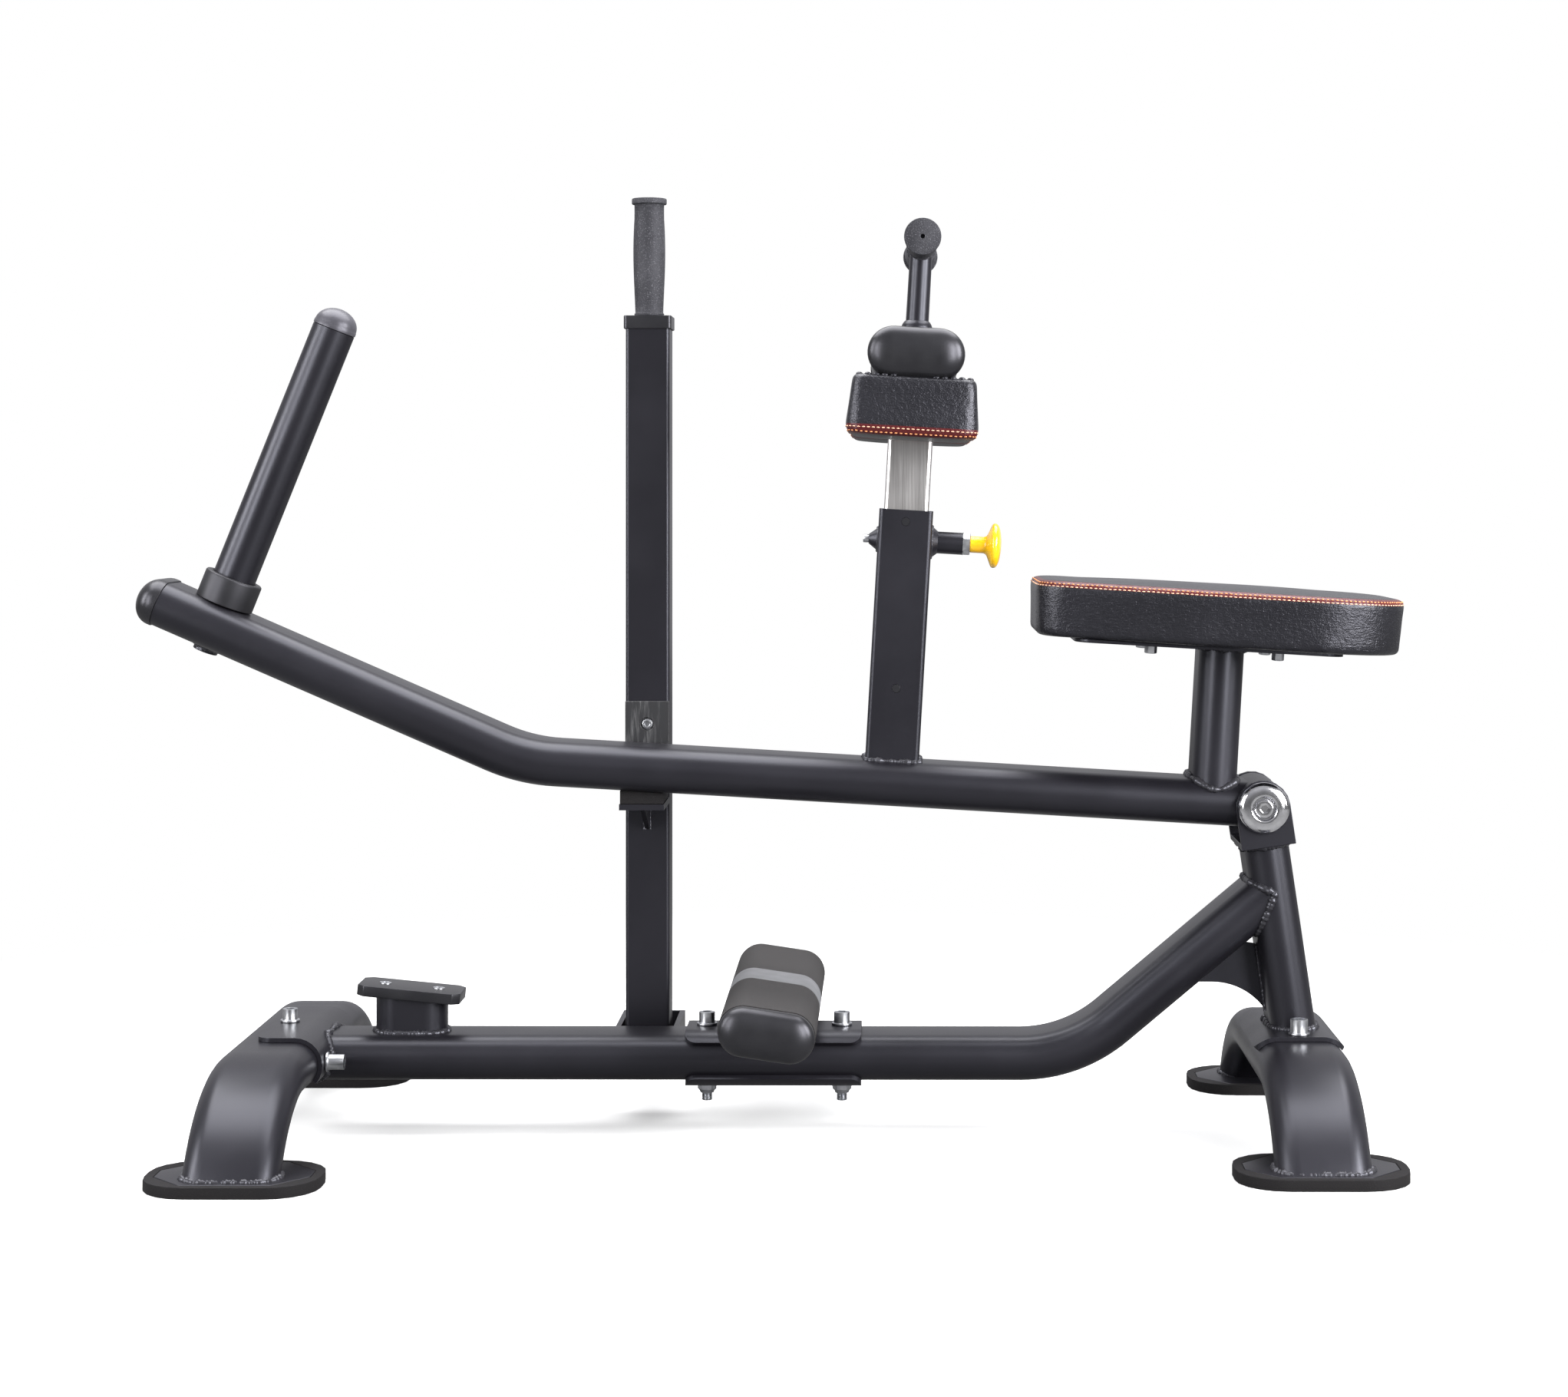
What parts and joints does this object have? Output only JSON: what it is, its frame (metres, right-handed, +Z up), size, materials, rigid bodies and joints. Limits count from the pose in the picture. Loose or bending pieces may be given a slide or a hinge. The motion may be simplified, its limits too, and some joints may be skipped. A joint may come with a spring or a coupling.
{
  "type": "seated calf raise machine",
  "caption": "Plate-loaded seated calf raise machine with a pivoted lever arm, seat, adjustable thigh pads, weight horn, footrest and swing-out catch post.",
  "frame": {"origin": "centre of the bounding box on the floor, under the machine", "axes": "+X towards the rear, where the user sits facing -X; +Z up; the catch post is on the +Y side"},
  "size_m": [1.4058, 0.6844, 1.0486],
  "materials": {
    "frame_paint": "satin black powder coat",
    "cap_plastic": "satin",
    "foot_rubber": "matt",
    "grip_rubber": "textured",
    "upholstery": "grained, with a dark red band",
    "bare_steel": "brushed",
    "bright_chrome": "polished",
    "zinc": "bright zinc plate",
    "yellow_plastic": "gloss",
    "bush_bronze": "plain"
  },
  "bodies": {
    "base_frame": {"base_tube": "frame_paint", "rear_upright": "frame_paint", "frame_gusset": "frame_paint", "front_leg": "frame_paint", "rear_leg": "frame_paint", "front_saddle_plate": "frame_paint", "rear_saddle_plate": "frame_paint", "front_foot_near": "foot_rubber", "front_foot_far": "foot_rubber", "rear_foot_near": "foot_rubber", "rear_foot_far": "foot_rubber", "front_bolt_top": "zinc", "front_bolt_near": "zinc", "front_bolt_far": "zinc", "rear_bolt_near": "zinc", "rear_bolt_far": "zinc", "bumper_block": "frame_paint", "bumper_pad": "foot_rubber", "footrest_tube": "frame_paint", "footrest_clamp_lower": "frame_paint", "footrest_bolt_front": "zinc", "footrest_bolt_rear": "zinc", "footrest_cover": "foot_rubber", "footrest_cap_near": "cap_plastic", "footrest_cap_far": "cap_plastic", "catch_bracket": "frame_paint", "catch_pivot_bolt": "zinc", "pivot_clevis": "frame_paint", "pivot_shaft": "bare_steel", "pivot_cap_near": "bright_chrome", "pivot_cap_far": "bright_chrome"},
    "lever_arm": {"arm_tube": "frame_paint", "arm_end_cap": "cap_plastic", "pivot_sleeve": "frame_paint", "pivot_bush_near": "bush_bronze", "pivot_bush_far": "bush_bronze", "horn_tube": "frame_paint", "horn_end_cap": "cap_plastic", "horn_collar": "cap_plastic", "seat_post": "frame_paint", "seat_pad": "upholstery", "knee_sleeve": "frame_paint", "guide_bush_upper": "cap_plastic", "guide_bush_lower": "cap_plastic"},
    "thigh_carriage": {"sliding_post": "bare_steel", "pad_crossbar": "frame_paint", "crossbar_cap_near": "cap_plastic", "crossbar_cap_far": "cap_plastic", "thigh_pad_near": "upholstery", "thigh_pad_far": "upholstery", "t_handle": "frame_paint", "handle_grip_near": "grip_rubber", "handle_grip_far": "grip_rubber"},
    "pull_pin": {"pull_pin": "yellow_plastic"},
    "catch": {"catch_post": "frame_paint", "catch_cushion": "foot_rubber", "wear_plate": "cap_plastic", "catch_post_cap": "cap_plastic", "catch_grip": "grip_rubber"}
  },
  "joints": [
    {"name": "arm_pivot", "type": "hinge", "parent": "base_frame", "child": "lever_arm", "pos_m": [0.54678, 0, 0.3645], "axis": [0, 1, 0], "range_deg": [0, 8]},
    {"name": "catch_tilt", "type": "hinge", "parent": "base_frame", "child": "catch", "pos_m": [-0.14072, 0.0806, 0.08], "axis": [-1, 0, 0], "range_deg": [0, 12]},
    {"name": "thigh_pad_height", "type": "slide", "parent": "lever_arm", "child": "thigh_carriage", "axis": [0.0576, 0, 0.9983], "range_m": [-0.06, 0.09]},
    {"name": "pin_pull", "type": "slide", "parent": "lever_arm", "child": "pull_pin", "axis": [0.9983, 0, -0.0576], "range_m": [0, 0.01], "stiffness_N_per_m": 400, "springref_m": -0.005}
  ],
  "couplings": [
    {"joint": "catch_tilt", "follows": "arm_pivot", "ratio": 1.5}
  ]
}
